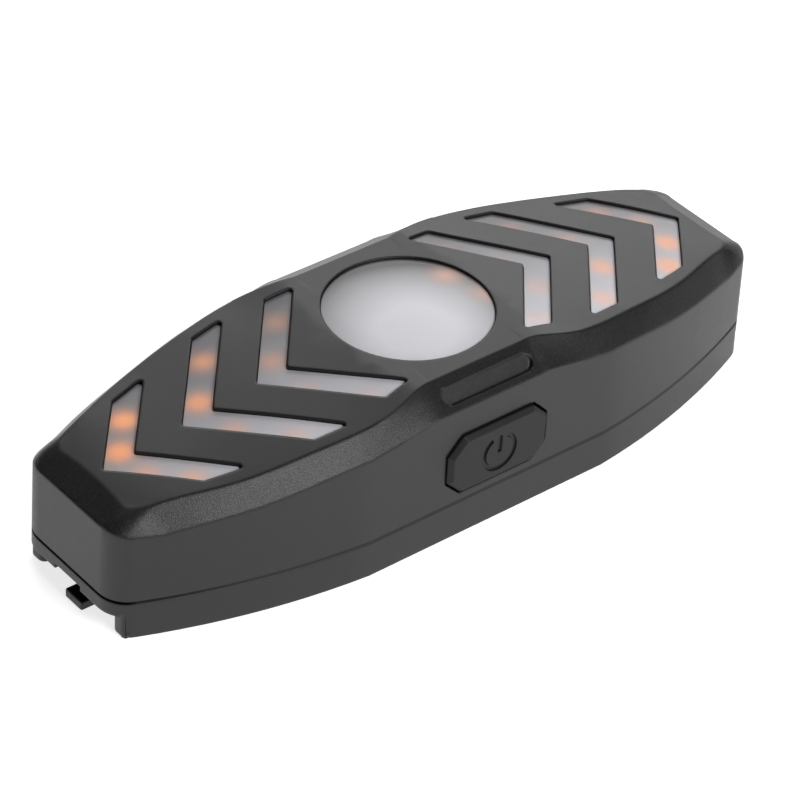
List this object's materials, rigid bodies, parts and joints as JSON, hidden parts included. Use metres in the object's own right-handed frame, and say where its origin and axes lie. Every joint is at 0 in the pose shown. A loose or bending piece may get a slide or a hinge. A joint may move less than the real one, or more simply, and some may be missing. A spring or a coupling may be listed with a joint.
{
  "type": "bicycle turn signal light",
  "caption": "Slim boat-shaped rear light with frosted arrow windows on both wings, a round domed brake lens, a side power button and strap hooks underneath.",
  "frame": {"origin": "centre of the underside, on the plane of the two feet", "axes": "+X along the light, +Y across it away from the power button, +Z out of the lit face"},
  "size_m": [0.1058, 0.0379, 0.0236],
  "materials": {
    "cover_plastic": "satin moulded black, fine spark texture on the chamfers",
    "seal_rubber": "matt silicone",
    "frosted_lens": "frosted translucent",
    "white_plastic": "moulded white",
    "black_plastic": "matt moulded black",
    "board_laminate": "white solder mask",
    "amber_led": "amber phosphor in a white package",
    "red_led": "tinted resin in a white package",
    "chip_resin": "moulded resin",
    "capacitor_ceramic": "fired ceramic",
    "foam_tape": "double-sided foam",
    "battery_pouch": "laminated foil pouch",
    "red_wire": "silicone insulation",
    "black_wire": "silicone insulation",
    "socket_steel": "plated sheet",
    "button_rubber": "matt silicone",
    "screw_steel": "zinc plated"
  },
  "bodies": {
    "housing": {"top_cover": "cover_plastic", "rear_cover": "cover_plastic", "seal_gasket": "seal_rubber", "centre_lens": "frosted_lens", "centre_reflector": "white_plastic", "left_chevron_lens": "frosted_lens", "right_chevron_lens": "frosted_lens", "main_board": "board_laminate", "amber_leds_left": "amber_led", "amber_leds_right": "amber_led", "centre_leds": "red_led", "control_chip": "chip_resin", "charge_chip": "chip_resin", "board_capacitors": "capacitor_ceramic", "receiver_board": "board_laminate", "receiver_chip": "chip_resin", "battery_tape": "foam_tape", "battery": "battery_pouch", "battery_lead_red": "red_wire", "battery_lead_black": "black_wire", "usb_socket": "socket_steel", "usb_tongue": "black_plastic", "port_cover_anchor": "button_rubber", "switch_body": "black_plastic", "mount_bracket": "black_plastic", "mount_pad": "button_rubber", "cover_screws": "screw_steel", "board_screws": "screw_steel", "bracket_screws": "screw_steel"},
    "button": {"power_button": "button_rubber"},
    "plunger": {"switch_plunger": "white_plastic"},
    "port_flap": {"port_cover": "button_rubber"}
  },
  "joints": [
    {"name": "button_press", "type": "slide", "parent": "housing", "child": "button", "axis": [0, 1, 0], "range_m": [0, 0.00035], "stiffness_N_per_m": 2000},
    {"name": "plunger_press", "type": "slide", "parent": "housing", "child": "plunger", "axis": [0, 1, 0], "range_m": [0, 0.00035]},
    {"name": "port_cover_fold", "type": "hinge", "parent": "housing", "child": "port_flap", "pos_m": [-0.006, 0.01924, 0.0107], "axis": [0, 0, 1], "range_deg": [0, 110]}
  ],
  "couplings": [
    {"joint": "plunger_press", "follows": "button_press", "ratio": 1}
  ]
}
